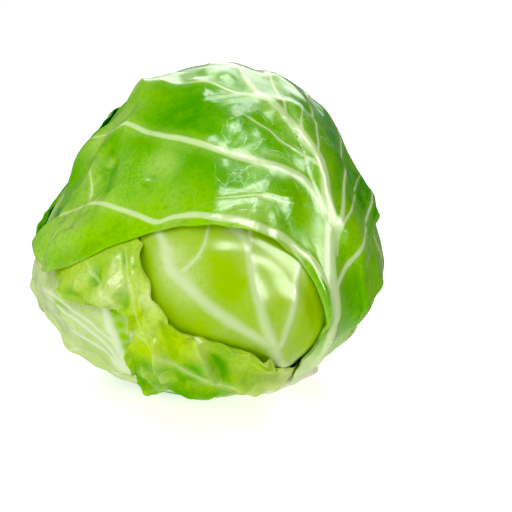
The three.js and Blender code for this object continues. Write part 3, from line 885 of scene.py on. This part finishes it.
folds = [
    ([(-16, 66), (-25, 53), (-35, 45), (-43, 40), (-50, 34)], 3.4, 9.0),
    ([(-44, 40), (-52, 33), (-58, 24), (-60, 14)], 1.8, 6.0),
    ([(-52, 58), (-58, 43), (-62, 34), (-65, 28)], -3.4, 3.0),
    ([(-52, 42), (-59, 32), (-63, 26), (-66, 20)], -3.0, 3.0),
    ([(-55, 50), (-60, 37), (-64, 28)], 3.0, 2.6),
    ([(-70, 52), (-69, 40), (-69, 31), (-69, 26)], 2.4, 3.0),
    ([(-69, 26), (-62, 20), (-56, 14), (-50, 10)], 1.8, 3.0),
    ([(-69, 26), (-72, 16), (-70, 6)], 1.4, 3.0),
    ([(-74, 62), (-77, 52), (-78, 43), (-78, 34), (-77, 24), (-74, 16)], -3.0, 3.0),
    ([(-84, 28), (-79, 24), (-80, 17), (-74, 7)], 2.0, 2.6),
    ([(-10, -40), (-15, -36), (-20, -31), (-27, -25), (-33, -20), (-40, -15), (-46, -10), (-54, -5),
      (-62, 2)], 3.4, 4.5),
    ([(-53, 14), (-51, 11), (-47, 8), (-43, 3)], -0.8, 2.2),
    ([(-52, 5), (-50, 2), (-46, -1), (-42, -3)], -0.8, 2.2),
    ([(-6, -22), (-15, -19), (-22, -15), (-31, -11), (-40, -7)], 0.9, 4.0),
    ([(-43, 40), (-35, 32), (-24, 31), (-15, 30)], -0.7, 4.0),
]
# Painted shade and light on the top leaf. Deep patches on its right paint the shade of the side that gets
# less light, and small ones lie in the grooves of its folds. Pale patches over its left paint the sheen it
# catches there, and small ones light the ridges of its folds. The fresh patches are its own yellow-green, and
# the net ones show its fine veins.
tints = {
    "deep": [(22, -16, 9, 1.0), (14, -24, 7, 1.0), (30, -22, 9, 1.0), (26, -4, 10, 0.8), (-28, 24, 14, 0.6),
             (-38, 8, 10, 0.4), (0, 22, 6, 0.4), (30, 10, 20, 0.6), (-14, 12, 9, 0.5), (-30, -4, 8, 0.5),
             (-52, 44, 4, 0.5), (-58, 30, 4, 0.5)],
    "pale_and_lit": [(-40, 54, 8, 0.8), (-50, 54, 9, 0.9), (-62, 44, 8, 0.8), (-70, 36, 7, 0.7), (-85, 31, 11, 1.0),
             (-24, -19, 6, 0.6), (-31, -17, 5, 0.6), (-76, 18, 8, 0.9), (-66, 16, 7, 0.7), (-50, 0, 7, 0.5),
             (-58, 6, 7, 0.5), (-64, 38, 3, 0.9), (-57, 36, 2.4, 0.9), (-70, 26, 5, 0.8), (-46, 12, 6, 0.8),
             (-82, 30, 14, 1.0), (-26, 57, 6, 1.0), (-9, 34, 5, 0.5), (-80, 42, 8, 0.8)],
    "fresh": [(-6, -34, 7, 0.9), (-7, -27, 6, 0.9), (10, -34, 8, 0.8), (-60, 0, 10, 0.8), (-70, 8, 9, 0.8),
              (-44, -10, 10, 0.7)],
    "net": [(-56, 26, 7, 1.0), (-52, 16, 7, 0.9)],
}
finish = leaf_finish(
    "top_leaf", [(112, 186, 2), (50, 148, 0), (174, 212, 92), (146, 204, 10), (212, 234, 172)],
    vein_share=0.8, twig_share=0.05,
)
make_leaf("leaf_top", finish, veins, twigs_of(veins, 9, 13, 100),
          [(52, 1.3), (26, 0.35), (13, 0.1)], folds, crimps=(46, 0.25), jag=0.1, tints=tints)

# The leaf behind: green like the top one, round the back left, with its wavy edge standing off the leaf
# inside it.
veins = plain_veins("leaf_behind", 5, 51)
finish = leaf_finish(
    "behind_leaf", [(86, 164, 6), (44, 130, 6), (150, 196, 78), (110, 182, 10), (190, 218, 138)])
make_leaf("leaf_behind", finish, veins, twigs_of(veins, 8, 14, 140), [(44, 1.4), (22, 0.6)],
          crimps=(44, 0.5), jag=0.3, seed=7)

# The heart: inner leaves folded tight on each other, as the CAD has it. Its outermost leaf, on the left,
# shows between the wrapping ones, so that one is a blade with veins of its own.
veins = plain_veins("heart_leaf", 4, 71)
finish = leaf_finish(
    "heart_leaf_finish", [(164, 206, 60), (128, 190, 24), (202, 224, 140), (160, 204, 24), (216, 234, 178)])
make_leaf("heart_leaf", finish, veins, twigs_of(veins, 6, 12, 160), [(44, 0.8)])

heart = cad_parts["heart"]
f = Finish("heart")
heart.data.materials.clear()
crease = f.noise(f.position(), 60, 3)
colour = f.mix(rgb(218, 228, 160), rgb(196, 216, 120), crease)
heart.data.materials.append(f.surface(Base_Color=colour, Roughness=0.3 + crease * 0.2))

# The floor, the light and the camera: a plain pale surface in a bright studio.
FLOOR_HALF, FLOOR_GREY, FLOOR_GLOW = 6.0, 0.6, 0.66
WHITE, STUDIO_LIGHT, BLACK_LEVEL = (1, 1, 1, 1), 0.24, 0.03
HEAD_MIDDLE = Vector((0, 0, 0.09))
CAMERA_LEVEL, CAMERA_PLACE, LENS = 22, (0.0282, -0.8319, 0.4077), 110.25

corners = [(-FLOOR_HALF, -FLOOR_HALF, 0), (FLOOR_HALF, -FLOOR_HALF, 0), (FLOOR_HALF, FLOOR_HALF, 0),
           (-FLOOR_HALF, FLOOR_HALF, 0)]
floor_mesh = bpy.data.meshes.new("floor")
floor_mesh.from_pydata(corners, [], [(0, 1, 2, 3)])
floor = bpy.data.objects.new("floor", floor_mesh)
bpy.context.scene.collection.objects.link(floor)
floor_mesh.materials.append(Finish("floor").surface(
    Base_Color=(FLOOR_GREY, FLOOR_GREY, FLOOR_GREY, 1), Roughness=0.25, Emission_Color=WHITE,
    Emission_Strength=FLOOR_GLOW))
floor.visible_glossy = False

world = bpy.data.worlds.new("studio")
bpy.context.scene.world = world
world.use_nodes = True
world.node_tree.nodes["Background"].inputs["Color"].default_value = WHITE
world.node_tree.nodes["Background"].inputs["Strength"].default_value = STUDIO_LIGHT


def soft_light(name, around, above, far, size, brightness, gleams):
    """A panel so many degrees round from the front and up and so many metres off, as bright as its surface
    looks. It either gleams on the wax or fills the shade without a gleam."""
    light = bpy.data.lights.new(name, "AREA")
    light.shape, light.size, light.size_y = "RECTANGLE", *size
    light.energy = brightness * math.pi * size[0] * size[1]
    lamp = bpy.data.objects.new(name, light)
    lamp.location = HEAD_MIDDLE + Vector(heading(around, above)) * far
    lamp.rotation_euler = (lamp.location - HEAD_MIDDLE).to_track_quat("Z", "Y").to_euler()
    lamp.visible_glossy, lamp.visible_diffuse = gleams, not gleams
    bpy.context.scene.collection.objects.link(lamp)


soft_light("overhead", 38, 62, 1.2, (0.56, 0.46), 16, True)
soft_light("overhead_back", 150, 66, 1.2, (0.4, 0.26), 12, True)
soft_light("front_right", 52, 28, 1.4, (0.66, 0.5), 15, True)
soft_light("backdrop", 168, 30, 1.6, (1.25, 1.3), 4.2, True)
soft_light("fill", -25, 52, 1.8, (1.8, 1.4), 2.6, False)
soft_light("low_fill", -35, 8, 1.8, (1.6, 0.9), 1.1, False)
soft_light("top_fill", 180, 75, 1.8, (2.4, 2.4), 0.55, False)

camera_data = bpy.data.cameras.new("camera")
camera_data.lens, camera_data.sensor_width, camera_data.clip_end = LENS, 36, 50
camera = bpy.data.objects.new("camera", camera_data)
camera.location = CAMERA_PLACE
camera.rotation_euler = (math.radians(90 - CAMERA_LEVEL), 0, 0)
bpy.context.scene.collection.objects.link(camera)
bpy.context.scene.camera = camera
view = bpy.context.scene.view_settings
view.view_transform, view.use_curve_mapping = "Standard", True
view.curve_mapping.black_level = (BLACK_LEVEL, BLACK_LEVEL, BLACK_LEVEL)
view.curve_mapping.update()
